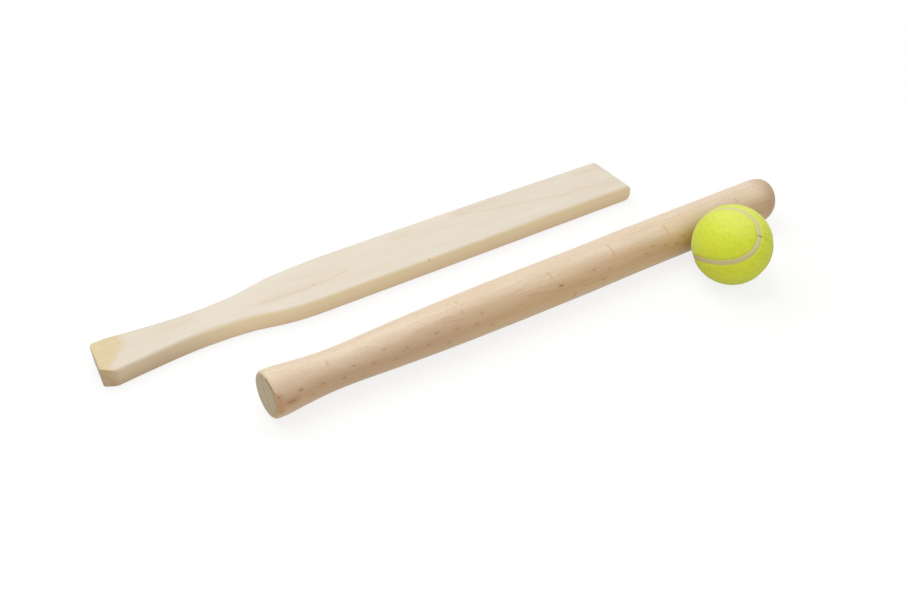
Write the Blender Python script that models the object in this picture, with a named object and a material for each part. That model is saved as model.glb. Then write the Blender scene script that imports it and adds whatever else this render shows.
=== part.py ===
"""Rounders set: a flat wooden bat, a turned wooden bat and a felt-covered ball, lying side by side.

Metres, +Z up. The bats lie along X with their tips towards +X, on the plane z = 0, and the origin is
the middle of the set's footprint.
"""
import math

import bmesh
import bpy
from mathutils import Vector
from mathutils.geometry import interpolate_bezier

MM = 0.001

# Clearance between two pieces that touch on the real object
CLEARANCE = 0.3 * MM

# Flat bat, cut from one plank: blade, shoulder, neck and flared butt with its corners cut off
FLAT_LENGTH = 487.5 * MM
FLAT_THICKNESS = 15.5 * MM
BLADE_WIDTH = 50.6 * MM
BLADE_LENGTH = 296.5 * MM
BLADE_CORNER_RADIUS = 3.0 * MM
BLADE_EDGE_RADIUS = 1.8 * MM
BLADE_NOSE_RADIUS = 6.0 * MM
SHOULDER_LENGTH = 111.5 * MM
SHOULDER_PULL = 67.5 * MM
FLAT_NECK_WIDTH = 28.9 * MM
FLAT_NECK_PULL = 12.5 * MM
FLAT_BUTT_WIDTH = 43.5 * MM
FLAT_BUTT_PULL = 41.5 * MM
FLAT_BUTT_FLARE = math.radians(6.5)
FAR_CUT_ALONG = 8.1 * MM
FAR_CUT_ACROSS = 3.6 * MM
FAR_CUT_RADIUS = 5.5 * MM
NEAR_CUT_ALONG = 7.3 * MM
NEAR_CUT_ACROSS = 4.8 * MM
NEAR_CUT_RADIUS = 5.1 * MM
FLAT_BUTT_SKEW = math.radians(4.7)
FLAT_BUTT_SKEW_SPAN = 40.0 * MM
HANDLE_TOP_RADIUS = 3.0 * MM
HANDLE_UNDER_RADIUS = 1.6 * MM
HANDLE_DRIFT = 1.0 * MM

# Round bat, turned from one billet: butt, neck and barrel, sizes measured from the butt face
ROUND_LENGTH = 482.3 * MM
BARREL_DIAMETER = 37.2 * MM
BARREL_START = 236.0 * MM
BARREL_PULL = 122.0 * MM
ROUND_NECK_DIAMETER = 29.8 * MM
ROUND_NECK_AT = 57.0 * MM
ROUND_NECK_PULL = 25.0 * MM
ROUND_BUTT_DIAMETER = 35.9 * MM
ROUND_BUTT_RIM_RADIUS = 3.2 * MM
ROUND_BUTT_LAND = 5.0 * MM
ROUND_BUTT_PULL = 6.0 * MM
TIP_ROUND_LENGTH = 13.5 * MM
TIP_ROUND_DEPTH = 6.5 * MM

# Ball: hollow rubber core in two halves, two felt panels and the cement band in the seam between them
BALL_DIAMETER = 65.0 * MM
FELT_THICKNESS = 2.8 * MM
FELT_EDGE_DROP = 0.7 * MM
FELT_EDGE_SPAN = 1.2 * MM
SEAM_WIDTH = 4.0 * MM
SEAM_WAIST = 23.5 * MM
SEAM_RECESS = 0.8 * MM
SEAM_CROWN = 0.2 * MM
CORE_WALL = 3.3 * MM
BALL_TURN = (math.radians(58.0), math.radians(41.0), math.radians(2.0))

# How the three items lie beside each other
BATS_APART = 107.5 * MM
BUTTS_APART = 86.5 * MM
BALL_FROM_TIP = 89.5 * MM
BALL_LIFT_GAP = 0.5 * MM

# Colours as 8-bit display values
PALE_WOOD = (228, 214, 190)
BEECH_WOOD = (218, 192, 158)
CORE_RUBBER = (70, 66, 62)
YELLOW_FELT = (212, 224, 60)
SEAM_CEMENT = (205, 194, 140)

# Facets, and the angles above which an edge is shaded sharp
ROUND_STEPS = 40
CORE_STEPS = 24
CURVE_POINTS = 12
CORNER_STEPS = 5
EDGE_STEPS = 4
SEAM_STATIONS = 96
PANEL_ROWS = 36
PANEL_COLUMNS = 4
TIP_CROWDING = 0.5
TANGENT_STEP = 0.001
TURN_MERGE = 0.01 * MM
BAT_SHARP_ANGLE = math.radians(40.0)
BALL_SHARP_ANGLE = math.radians(50.0)


def linear(red, green, blue):
    """Linear colour of a surface seen as these 8-bit display values."""
    def channel(value):
        share = value / 255.0
        if share <= 0.04045:
            return share / 12.92
        return ((share + 0.055) / 1.055) ** 2.4
    return channel(red), channel(green), channel(blue), 1.0


def make_material(name, colour, roughness):
    material = bpy.data.materials.new(name)
    material.use_nodes = True
    shader = material.node_tree.nodes["Principled BSDF"]
    shader.inputs["Base Color"].default_value = colour
    shader.inputs["Roughness"].default_value = roughness
    shader.inputs["Metallic"].default_value = 0.0
    return material


def add_object(name, mesh, material, parent=None):
    piece = bpy.data.objects.new(name, mesh)
    bpy.context.scene.collection.objects.link(piece)
    if not mesh.materials:
        mesh.materials.append(material)
    piece.parent = parent
    return piece


def finish_mesh(builder, name, sharp_angle):
    """Turn a bmesh into a smooth-shaded mesh whose faces point outwards."""
    bmesh.ops.recalc_face_normals(builder, faces=builder.faces)
    mesh = bpy.data.meshes.new(name)
    builder.to_mesh(mesh)
    builder.free()
    mesh.shade_smooth()
    mesh.set_sharp_from_angle(angle=sharp_angle)
    return mesh


def skin_rings(builder, rings):
    """Join equal closed rings of vertices by quads."""
    for lower, upper in zip(rings, rings[1:]):
        count = len(lower)
        for index in range(count):
            following = (index + 1) % count
            builder.faces.new((lower[index], lower[following], upper[following], upper[index]))


def arc(centre, radius_x, radius_y, start, end, steps):
    """Points of an elliptical arc, both ends included."""
    points = []
    for step in range(steps + 1):
        angle = start + (end - start) * step / steps
        points.append(Vector((centre[0] + radius_x * math.cos(angle),
                              centre[1] + radius_y * math.sin(angle))))
    return points


def bezier(start, start_pull, end_pull, end):
    """Points of a Bezier curve, both ends included."""
    return interpolate_bezier(Vector(start), Vector(start_pull), Vector(end_pull), Vector(end), CURVE_POINTS)


def rounded_corner(before, corner, after, radius):
    """Points of the arc that rounds a corner, tangent to the lines towards both its neighbours."""
    to_before = (before - corner).normalized()
    to_after = (after - corner).normalized()
    half_angle = to_before.angle(to_after) / 2
    run = radius / math.tan(half_angle)
    centre = corner + (to_before + to_after).normalized() * (radius / math.sin(half_angle))
    spoke = corner + to_before * run - centre
    sweep = spoke.angle_signed(corner + to_after * run - centre)
    # angle_signed counts clockwise turns as positive
    start = math.atan2(spoke.y, spoke.x)
    return arc(centre, radius, radius, start, start - sweep, CORNER_STEPS)


def flat_outline(tip_draw, cut_along, cut_across, cut_radius):
    """Half outline of the flat bat from its tip, drawn in by this much, to its butt with a cut corner."""
    half_blade = BLADE_WIDTH / 2
    half_neck = FLAT_NECK_WIDTH / 2
    half_butt = FLAT_BUTT_WIDTH / 2
    blade_end = FLAT_LENGTH - BLADE_LENGTH
    neck_at = blade_end - SHOULDER_LENGTH
    tip_centre = (FLAT_LENGTH - tip_draw - BLADE_CORNER_RADIUS, half_blade - BLADE_CORNER_RADIUS)
    tip_corner = arc(tip_centre, BLADE_CORNER_RADIUS, BLADE_CORNER_RADIUS, 0.0, math.pi / 2, CORNER_STEPS)
    shoulder = bezier((blade_end, half_blade), (blade_end - SHOULDER_PULL, half_blade),
                      (neck_at + SHOULDER_PULL, half_neck), (neck_at, half_neck))
    # The flared side, the cut across the corner and half the butt face, each corner rounded
    along = Vector((math.cos(FLAT_BUTT_FLARE), -math.sin(FLAT_BUTT_FLARE)))
    side_corner = Vector((0.0, half_butt)) + along * cut_along
    face_corner = Vector((0.0, half_butt - cut_across))
    side_arc = rounded_corner(side_corner + along, side_corner, face_corner, cut_radius)
    face_arc = rounded_corner(side_corner, face_corner, Vector((0.0, 0.0)), cut_radius)
    flare = bezier((neck_at, half_neck), (neck_at - FLAT_NECK_PULL, half_neck),
                   side_arc[0] + along * FLAT_BUTT_PULL, side_arc[0])
    return tip_corner + shoulder + flare[1:] + side_arc[1:] + face_arc


def edge_radius(along, handle_radius):
    """Edge rounding of the flat bat: the blade's own, and this much on the handle."""
    blade_end = FLAT_LENGTH - BLADE_LENGTH
    share = min(max((blade_end - along) / SHOULDER_LENGTH, 0.0), 1.0)
    return BLADE_EDGE_RADIUS + (handle_radius - BLADE_EDGE_RADIUS) * share


def round_over(radius, height):
    """How far a rounded edge is drawn in at this height above the face it starts from."""
    below = max(radius - height, 0.0)
    return radius - math.sqrt(radius * radius - below * below)


def askew(point):
    """A point of the outline as it really lies: the butt sawn out of square, the handle adrift to -Y."""
    butt = max(1.0 - point.x / FLAT_BUTT_SKEW_SPAN, 0.0)
    handle = max(1.0 - point.x / (FLAT_LENGTH - BLADE_LENGTH), 0.0)
    longest_side = NEAR_CUT_ACROSS - FLAT_BUTT_WIDTH / 2
    return Vector((point.x + butt * math.tan(FLAT_BUTT_SKEW) * (point.y - longest_side),
                   point.y - handle * handle * HANDLE_DRIFT))


def flat_ring(height, handle_radius):
    """Outline of the flat bat at this height above the face whose edge has this radius on the handle."""
    tip_draw = round_over(BLADE_NOSE_RADIUS, height)
    far = flat_outline(tip_draw, FAR_CUT_ALONG, FAR_CUT_ACROSS, FAR_CUT_RADIUS)
    near = flat_outline(tip_draw, NEAR_CUT_ALONG, NEAR_CUT_ACROSS, NEAR_CUT_RADIUS)
    outline = [askew(point) for point in far + [Vector((point.x, -point.y)) for point in reversed(near)]]
    count = len(outline)
    ring = []
    for index, point in enumerate(outline):
        tangent = outline[(index + 1) % count] - outline[index - 1]
        inward = Vector((-tangent.y, tangent.x)).normalized()
        # The nose already draws the tip back towards the butt
        inward.x = max(inward.x, 0.0)
        ring.append(point + inward * round_over(edge_radius(point.x, handle_radius), height))
    return ring


def build_flat_bat(material):
    """Flat bat: its outline drawn in and raised round both edges, capped top and bottom."""
    heights = []
    for step in range(EDGE_STEPS + 1):
        heights.append(BLADE_NOSE_RADIUS * (1 - math.cos(math.pi / 2 * step / EDGE_STEPS)))
    builder = bmesh.new()
    rings = []
    for height in heights:
        ring = flat_ring(height, HANDLE_UNDER_RADIUS)
        rings.append([builder.verts.new((point.x, point.y, height)) for point in ring])
    for height in reversed(heights):
        ring = flat_ring(height, HANDLE_TOP_RADIUS)
        rings.append([builder.verts.new((point.x, point.y, FLAT_THICKNESS - height)) for point in ring])
    skin_rings(builder, rings)
    builder.faces.new(rings[0])
    builder.faces.new(rings[-1])
    mesh = finish_mesh(builder, "flat_bat", BAT_SHARP_ANGLE)
    return add_object("flat_bat", mesh, material)


def round_profile():
    """Radius and distance from the butt face along the round bat, from its tip to its butt."""
    barrel = BARREL_DIAMETER / 2
    neck = ROUND_NECK_DIAMETER / 2
    butt = ROUND_BUTT_DIAMETER / 2
    land_end = ROUND_BUTT_RIM_RADIUS + ROUND_BUTT_LAND
    tip = arc((barrel - TIP_ROUND_DEPTH, ROUND_LENGTH - TIP_ROUND_LENGTH), TIP_ROUND_DEPTH, TIP_ROUND_LENGTH,
              math.pi / 2, 0.0, CORNER_STEPS)
    taper = bezier((barrel, BARREL_START), (barrel, BARREL_START - BARREL_PULL),
                   (neck, ROUND_NECK_AT + ROUND_NECK_PULL), (neck, ROUND_NECK_AT))
    flare = bezier((neck, ROUND_NECK_AT), (neck, ROUND_NECK_AT - ROUND_NECK_PULL),
                   (butt, land_end + ROUND_BUTT_PULL), (butt, land_end))
    rim = arc((butt - ROUND_BUTT_RIM_RADIUS, ROUND_BUTT_RIM_RADIUS), ROUND_BUTT_RIM_RADIUS,
              ROUND_BUTT_RIM_RADIUS, 0.0, -math.pi / 2, CORNER_STEPS)
    on_axis = [Vector((0.0, ROUND_LENGTH))]
    return on_axis + tip + taper + flare[1:] + rim + [Vector((0.0, 0.0))]


def turned(name, profile, steps, material, parent=None):
    """A turned solid: the profile, radius and height, swept round the object's Z axis."""
    builder = bmesh.new()
    previous = None
    for point in profile:
        vertex = builder.verts.new((point[0], 0.0, point[1]))
        if previous:
            builder.edges.new((previous, vertex))
        previous = vertex
    mesh = bpy.data.meshes.new(name)
    builder.to_mesh(mesh)
    builder.free()
    piece = add_object(name, mesh, material, parent)
    screw = piece.modifiers.new("turn", "SCREW")
    screw.axis = "Z"
    screw.steps = steps
    screw.render_steps = steps
    screw.use_merge_vertices = True
    screw.merge_threshold = TURN_MERGE
    screw.use_smooth_shade = True
    return piece


def core_profile():
    """One half shell of the core: down the outside, across the rim and up the inside."""
    outer = core_radius()
    inner = outer - CORE_WALL
    rim = CLEARANCE / 2
    outside = arc((0.0, 0.0), outer, outer, math.pi / 2, math.asin(rim / outer), CORE_STEPS // 3)
    inside = arc((0.0, 0.0), inner, inner, math.asin(rim / inner), math.pi / 2, CORE_STEPS // 4)
    # Both arcs start or end on the axis itself
    outside[0].x = 0.0
    inside[-1].x = 0.0
    return outside + inside


def core_radius():
    return BALL_DIAMETER / 2 - FELT_THICKNESS - CLEARANCE


def seam_point(turn):
    """Point of the seam's middle line on the ball, at this share of its closed loop in radians."""
    radius = BALL_DIAMETER / 2
    wide = (radius + SEAM_WAIST / 2) / 2
    narrow = (radius - SEAM_WAIST / 2) / 2
    return Vector((wide * math.cos(turn) - narrow * math.cos(3 * turn),
                   wide * math.sin(turn) + narrow * math.sin(3 * turn),
                   2 * math.sqrt(wide * narrow) * math.cos(2 * turn)))


def beside_seam(turn, offset, radius):
    """Point at this offset from the seam's middle line, towards the first panel, on a sphere."""
    point = seam_point(turn)
    ahead = seam_point(turn + TANGENT_STEP) - seam_point(turn - TANGENT_STEP)
    side = point.cross(ahead).normalized()
    return (point + side * offset).normalized() * radius


def build_seam(parent, material):
    """The cement band: a low crowned strip swept round the whole seam."""
    outer = BALL_DIAMETER / 2 - SEAM_RECESS
    inner = core_radius() + CLEARANCE
    half = SEAM_WIDTH / 2
    shoulder = outer - SEAM_CROWN
    section = ((-half, inner), (half, inner), (half, shoulder), (0.0, outer), (-half, shoulder))
    builder = bmesh.new()
    rings = []
    for station in range(SEAM_STATIONS):
        turn = 2 * math.pi * station / SEAM_STATIONS
        rings.append([builder.verts.new(beside_seam(turn, offset, radius)) for offset, radius in section])
    skin_rings(builder, rings + rings[:1])
    mesh = finish_mesh(builder, "ball_seam", BALL_SHARP_ANGLE)
    return add_object("ball_seam", mesh, material, parent)


def panel_mesh():
    """Felt panel: rows across the dumb-bell from edge to edge, as two skins and the wall between them."""
    outer = BALL_DIAMETER / 2
    inner = core_radius() + CLEARANCE
    margin = SEAM_WIDTH / 2 + CLEARANCE
    builder = bmesh.new()

    def row_directions(turn):
        edge = beside_seam(turn, margin, 1.0)
        half_width = math.asin(edge.x)
        spine = Vector((0.0, edge.y, edge.z)).normalized()
        margin_angle = min(FELT_EDGE_SPAN / outer, half_width / 2)
        spread = [half_width]
        spread += [(half_width - margin_angle) * step / PANEL_COLUMNS for step in range(PANEL_COLUMNS, 0, -1)]
        across = spread + [0.0] + [-angle for angle in reversed(spread)]
        return [spine * math.cos(angle) + Vector((math.sin(angle), 0.0, 0.0)) for angle in across]

    outer_rows = []
    inner_rows = []
    for row in range(1, PANEL_ROWS):
        # Rows lie closer together towards the two tips
        even = 2 * row / PANEL_ROWS - 1
        crowded = math.sin(even * math.pi / 2)
        share = TIP_CROWDING * crowded + (1 - TIP_CROWDING) * even
        directions = row_directions(share * math.pi / 2)
        last = len(directions) - 1
        radii = [outer - (FELT_EDGE_DROP if index in (0, last) else 0.0) for index in range(last + 1)]
        outer_rows.append([builder.verts.new(way * radius) for way, radius in zip(directions, radii)])
        inner_rows.append([builder.verts.new(way * inner) for way in directions])
    tips = []
    for turn in (-math.pi / 2, math.pi / 2):
        way = beside_seam(turn, margin, 1.0)
        tips.append((builder.verts.new(way * (outer - FELT_EDGE_DROP)), builder.verts.new(way * inner)))
    for rows, side in ((outer_rows, 0), (inner_rows, 1)):
        for near, far in zip(rows, rows[1:]):
            for index in range(len(near) - 1):
                builder.faces.new((near[index], near[index + 1], far[index + 1], far[index]))
        for tip, row in ((tips[0], rows[0]), (tips[1], rows[-1])):
            for index in range(len(row) - 1):
                builder.faces.new((tip[side], row[index], row[index + 1]))
    for index in (0, -1):
        top = [tips[0][0]] + [row[index] for row in outer_rows] + [tips[1][0]]
        bottom = [tips[0][1]] + [row[index] for row in inner_rows] + [tips[1][1]]
        for step in range(len(top) - 1):
            builder.faces.new((top[step], top[step + 1], bottom[step + 1], bottom[step]))
    return finish_mesh(builder, "ball_felt_panel", BALL_SHARP_ANGLE)


def build_ball(place, rubber, felt, cement):
    """The ball's pieces, all carried by an empty at the ball's centre."""
    centre = bpy.data.objects.new("ball_centre", None)
    bpy.context.scene.collection.objects.link(centre)
    centre.location = place
    centre.rotation_euler = BALL_TURN
    profile = core_profile()
    turned("ball_core_half_a", profile, CORE_STEPS, rubber, centre)
    lower_half = turned("ball_core_half_b", profile, CORE_STEPS, rubber, centre)
    lower_half.rotation_euler = (math.pi, 0.0, 0.0)
    mesh = panel_mesh()
    add_object("ball_felt_panel_a", mesh, felt, centre)
    # The second panel is the first one turned over and crossed with it
    second = add_object("ball_felt_panel_b", mesh, felt, centre)
    second.rotation_euler = (math.pi, 0.0, math.pi / 2)
    build_seam(centre, cement)


def main():
    for old in list(bpy.data.objects):
        bpy.data.objects.remove(old, do_unlink=True)

    maple = make_material("pale_wood", linear(*PALE_WOOD), 0.55)
    beech = make_material("beech_wood", linear(*BEECH_WOOD), 0.5)
    rubber = make_material("core_rubber", linear(*CORE_RUBBER), 0.8)
    felt = make_material("yellow_felt", linear(*YELLOW_FELT), 0.95)
    cement = make_material("seam_cement", linear(*SEAM_CEMENT), 0.7)

    # Lay the items out from the round bat's butt and axis, then centre their footprint on the origin
    ball_radius = BALL_DIAMETER / 2
    ball_side = BARREL_DIAMETER / 2 + ball_radius + BALL_LIFT_GAP
    ball_along = ROUND_LENGTH - BALL_FROM_TIP
    left = min(-BUTTS_APART, 0.0, ball_along - ball_radius)
    right = max(FLAT_LENGTH - BUTTS_APART, ROUND_LENGTH, ball_along + ball_radius)
    front = -ball_side - ball_radius
    back = BATS_APART + BLADE_WIDTH / 2
    butt_x = -(left + right) / 2
    axis_y = -(front + back) / 2

    flat_bat = build_flat_bat(maple)
    flat_bat.location = (butt_x - BUTTS_APART, axis_y + BATS_APART, 0.0)

    round_bat = turned("round_bat", round_profile(), ROUND_STEPS, beech)
    round_bat.location = (butt_x, axis_y, max(BARREL_DIAMETER, ROUND_BUTT_DIAMETER) / 2)
    round_bat.rotation_euler = (0.0, math.pi / 2, 0.0)

    build_ball((butt_x + ball_along, axis_y - ball_side, ball_radius), rubber, felt, cement)


main()
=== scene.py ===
"""Looks of the rounders set: a pale plank bat, a turned beech bat and a felt-covered ball on a white floor.

Metres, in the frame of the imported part. The bats take their outlines from the part's own solids, with small
corrections fitted to the photograph. The marks in their grain are placed by the pixels at which it shows
them.
"""
import math

import bmesh
import bpy
import numpy as np
from mathutils import Euler, Matrix, Vector, noise
from mathutils.bvhtree import BVHTree


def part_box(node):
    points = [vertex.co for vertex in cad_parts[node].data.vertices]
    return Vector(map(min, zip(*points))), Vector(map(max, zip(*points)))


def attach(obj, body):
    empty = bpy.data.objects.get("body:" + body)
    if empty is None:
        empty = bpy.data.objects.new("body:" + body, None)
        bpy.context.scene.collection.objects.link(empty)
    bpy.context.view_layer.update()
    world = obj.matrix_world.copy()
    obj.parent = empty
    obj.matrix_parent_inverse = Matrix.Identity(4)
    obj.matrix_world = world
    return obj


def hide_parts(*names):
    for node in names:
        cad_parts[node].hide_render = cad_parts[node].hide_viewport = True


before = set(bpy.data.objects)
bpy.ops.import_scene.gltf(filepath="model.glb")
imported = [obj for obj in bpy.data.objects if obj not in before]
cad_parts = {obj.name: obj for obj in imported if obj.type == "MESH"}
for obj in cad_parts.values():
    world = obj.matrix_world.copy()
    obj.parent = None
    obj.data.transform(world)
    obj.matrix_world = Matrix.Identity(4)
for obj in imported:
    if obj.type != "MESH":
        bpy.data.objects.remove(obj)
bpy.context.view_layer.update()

MM = 0.001


# Photograph, and the camera fitted to it

PHOTO_WIDTH = 906
PHOTO_HEIGHT = 600
LENS = 50.0
SENSOR = 36.0
CAMERA_AIM = Vector((-12.2 * MM, 18.3 * MM, 0.0))
CAMERA_AZIMUTH = math.radians(-33.68)
CAMERA_ELEVATION = math.radians(37.33)
CAMERA_ROLL = math.radians(0.83)
CAMERA_DISTANCE = 1006.2 * MM


def camera_axes():
    """The camera's place and its axes to the right, up and away from it."""
    level = math.cos(CAMERA_ELEVATION)
    away = Vector((-math.sin(CAMERA_AZIMUTH) * level, math.cos(CAMERA_AZIMUTH) * level,
                   -math.sin(CAMERA_ELEVATION)))
    right = Vector((math.cos(CAMERA_AZIMUTH), math.sin(CAMERA_AZIMUTH), 0.0))
    up = right.cross(away)
    turn = math.cos(CAMERA_ROLL)
    lean = math.sin(CAMERA_ROLL)
    return CAMERA_AIM - away * CAMERA_DISTANCE, right * turn + up * lean, up * turn - right * lean, away


def line_of_sight(pixel):
    """The camera's place, and the direction from it to what the photograph shows at this pixel."""
    place, right, up, away = camera_axes()
    focal = LENS / SENSOR * PHOTO_WIDTH
    sight = right * (pixel[0] - PHOTO_WIDTH / 2) + up * (PHOTO_HEIGHT / 2 - pixel[1]) + away * focal
    return place, sight.normalized()


def landing(surface, pixel):
    """The point of a surface that the photograph shows at this pixel."""
    place, sight = line_of_sight(pixel)
    return np.array(surface.ray_cast(place, sight)[0])


def landing_on_sphere(centre, radius, pixel):
    """The point of a sphere that the photograph shows at this pixel."""
    place, sight = line_of_sight(pixel)
    offset = Vector(centre) - place
    along = offset.dot(sight)
    reach = radius * radius - (offset.length_squared - along * along)
    return np.array(place + sight * (along - math.sqrt(max(reach, 0.0))))


def add_camera():
    """The camera fitted to the photograph, as the scene's own."""
    place, right, up, away = camera_axes()
    data = bpy.data.cameras.new("photo_camera")
    data.lens = LENS
    data.sensor_width = SENSOR
    camera = bpy.data.objects.new("photo_camera", data)
    camera.matrix_world = Matrix.Translation(place) @ Matrix((right, up, -away)).transposed().to_4x4()
    bpy.context.scene.collection.objects.link(camera)
    bpy.context.scene.camera = camera


# Meshes, and values painted on them

# Distance between stations along the grain, and the borders of an end face as shares of the ring round it
GRAIN_SPACING = 1.0 * MM
CAP_BORDERS = (0.96, 0.85, 0.7, 0.55, 0.4, 0.25, 0.1)

# Decimals of a metre to which places on the solids are told apart, and the least square of a stroke's length
PLACE_DECIMALS = 5
LEAST_SQUARE = 1e-12


def smooth_step(values, low, high):
    """0 below low, 1 above high and a smooth rise between them."""
    share = np.clip((values - low) / (high - low), 0.0, 1.0)
    return share * share * (3 - 2 * share)


def round_over(radius, distance):
    """How far a rounded edge falls away at this distance from the end that it rounds."""
    short = np.clip(radius - distance, 0.0, radius)
    return radius - np.sqrt(radius * radius - short * short)


def unit(vectors):
    """Vectors of length 1 in these directions."""
    return vectors / np.linalg.norm(vectors, axis=-1, keepdims=True)


def full_turn(count):
    """This many angles, evenly round a full turn."""
    return np.linspace(0.0, 2 * math.pi, count, endpoint=False)


def mesh_points(mesh):
    """Vertices of a mesh, in rows of x, y and z."""
    points = np.empty(len(mesh.vertices) * 3)
    mesh.vertices.foreach_get("co", points)
    return points.reshape(-1, 3)


def node_points(name):
    """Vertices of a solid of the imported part."""
    return mesh_points(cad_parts[name].data)


def refine(points, spacing, fewest=4):
    """A smooth run through these points that overshoots none of them, with stations about this far apart."""
    lengths = np.linalg.norm(np.diff(points, axis=0), axis=1)
    slopes = np.diff(points, axis=0) / lengths[:, None]
    tangents = np.zeros_like(points)
    tangents[0] = slopes[0]
    tangents[-1] = slopes[-1]
    for index in range(1, len(points) - 1):
        before = slopes[index - 1]
        after = slopes[index]
        same = before * after > 0
        near = 2 * lengths[index] + lengths[index - 1]
        far = lengths[index] + 2 * lengths[index - 1]
        tangents[index, same] = (near + far) / (near / before[same] + far / after[same])
    run = []
    for index, length in enumerate(lengths):
        count = max(fewest, math.ceil(length / spacing))
        for share in np.arange(count) / count:
            rise = share * share * (3 - 2 * share)
            leave = share * (1 - share) ** 2 * length
            arrive = share * share * (share - 1) * length
            run.append(points[index] * (1 - rise) + points[index + 1] * rise
                       + tangents[index] * leave + tangents[index + 1] * arrive)
    return np.array(run + [points[-1]])


def skin(stations, count, closed=False):
    """Faces between rings of this many points; a closed skin joins the last ring to the first."""
    faces = []
    for station in range(stations if closed else stations - 1):
        ring = station * count
        beyond = (station + 1) % stations * count
        for index in range(count):
            following = (index + 1) % count
            faces.append((ring + index, ring + following, beyond + following, beyond + index))
    return faces


def loft(name, rings):
    """A closed piece skinned over equal rings of points, with narrowing borders on its flat end faces."""
    caps = []
    for ring in (rings[0], rings[-1]):
        middle = ring.mean(axis=0)
        caps.append([middle + (ring - middle) * border for border in CAP_BORDERS])
    rings = np.concatenate((caps[0][::-1], rings, caps[1]))
    stations, count = rings.shape[:2]
    ends = [tuple(range(count)), tuple(range((stations - 1) * count, stations * count))]
    return add_piece(name, rings.reshape(-1, 3), ends + skin(stations, count))


def add_piece(name, points, faces):
    """A smooth mesh object whose faces point outwards."""
    mesh = bpy.data.meshes.new(name)
    mesh.from_pydata([tuple(point) for point in points], [], faces)
    builder = bmesh.new()
    builder.from_mesh(mesh)
    bmesh.ops.recalc_face_normals(builder, faces=builder.faces)
    builder.to_mesh(mesh)
    builder.free()
    mesh.shade_smooth()
    piece = bpy.data.objects.new(name, mesh)
    bpy.context.scene.collection.objects.link(piece)
    return piece


def surface_of(piece):
    """A piece's mesh as a tree for lines of sight, and its vertices."""
    points = mesh_points(piece.data)
    return BVHTree.FromPolygons(points.tolist(), [face.vertices for face in piece.data.polygons]), points


def paint(piece, name, cover):
    """Keep a value from 0 to 1 at each vertex, for the piece's material."""
    layer = piece.data.attributes.new(name, "FLOAT", "POINT")
    layer.data.foreach_set("value", np.clip(cover, 0.0, 1.0).astype(np.float32))


def stroke(points, path, width):
    """How much a soft line along this path covers each point, from 0 to 1."""
    cover = np.zeros(len(points))
    for start, end in zip(path, path[1:]):
        span = end - start
        share = np.clip((points - start) @ span / max(span @ span, LEAST_SQUARE), 0.0, 1.0)
        gap = np.linalg.norm(points - start - share[:, None] * span, axis=1)
        cover = np.maximum(cover, np.exp(-(gap / width) ** 2))
    return cover


def strokes(points, surface, lines, width):
    """How much soft lines through these pixels of the photograph cover each point, from 0 to 1."""
    cover = np.zeros(len(points))
    for line in lines:
        cover = np.maximum(cover, stroke(points, [landing(surface, pixel) for pixel in line], width))
    return cover


def stroke_along_grain(points, place, length, width):
    """How much a soft line of this length along X, with its middle at a place, covers each point."""
    half = np.array((length / 2, 0.0, 0.0))
    return stroke(points, (place - half, place + half), width)


# Flat bat

# Where the blade gives way to the handle, the length of the butt, the radii of the rounded edges, and the
# largest share of half the thickness that a radius takes
BLADE_LENGTH = 296.5 * MM
SHOULDER_LENGTH = 111.5 * MM
BUTT_LENGTH = 14.0 * MM
BLADE_EDGE = 1.8 * MM
HANDLE_TOP_EDGE = 3.0 * MM
HANDLE_UNDER_EDGE = 1.6 * MM
BUTT_EDGE = 1.2 * MM
TIP_NOSE = 7.0 * MM
LARGEST_EDGE_SHARE = 0.9

# Bow of the blade's far edge: it swells from the shoulder on and falls away towards the tip
BLADE_SWELL = 0.95 * MM
BLADE_SWELL_FROM = -19.0 * MM
BLADE_SWELL_TO = 8.0 * MM
BLADE_FALL = 2.7 * MM

# Butt: its end is undercut and reaches further on its near side, its far shoulder is worn, and its near
# corner is planed off by one width on top and another at the underside
BUTT_UNDERCUT_FAR = 1.6 * MM
BUTT_UNDERCUT_NEAR = 0.5 * MM
BUTT_REACH_FAR = -0.1 * MM
BUTT_REACH_NEAR = 1.4 * MM
BUTT_WEAR = 1.9 * MM
BUTT_WEAR_PLACE = 10.2 * MM
BUTT_WEAR_SPAN = 3.3 * MM
BUTT_CORNER_LENGTH = 8.4 * MM
BUTT_CORNER_TOP = 7.4 * MM
BUTT_CORNER_UNDER = 4.7 * MM
BUTT_CORNER_SOFTNESS = 0.7 * MM

# Tip: it reaches further on its near side
TIP_REACH_NEAR = 0.7 * MM
TIP_REACH_SPAN = 14.0 * MM

# Points of a cross-section, and the tolerance for vertices of the solid that lie at mid height
PLANK_ACROSS = 48
PLANK_EDGE_STEPS = 7
PLANK_WALL_STEPS = 8
LEVEL_TOLERANCE = 0.3 * MM

# Growth lines and specks, as pixels of the photograph, and their widths
GROWTH_LINES = (
    ((455, 215), (487, 209.6), (524, 202.6), (560, 195.6), (581, 188.5), (615, 181.6)),
    ((453, 214), (480, 205.5), (494, 199.5)),
    ((576, 174), (588, 170.5), (600, 166.5)),
    ((262, 303), (277.3, 297.5), (303.4, 289.7), (315.2, 285.1), (329.6, 278.6), (346.6, 270.8)),
    ((393.6, 238.7), (408, 234.2)),
    ((160, 330), (176, 325.5), (190, 319)),
    ((540, 218.5), (566, 210.5), (590, 202.8), (608, 197.2), (627, 191.6)),
)
PLANK_SPECKS = ((312.8, 284.8), (429.6, 259.8))
GROWTH_LINE_WIDTH = 0.6 * MM
GROWTH_SHADE = 0.25
GROWTH_SHADE_WIDTH = 5.0 * MM
SPECK_WIDTH = 0.7 * MM

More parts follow.
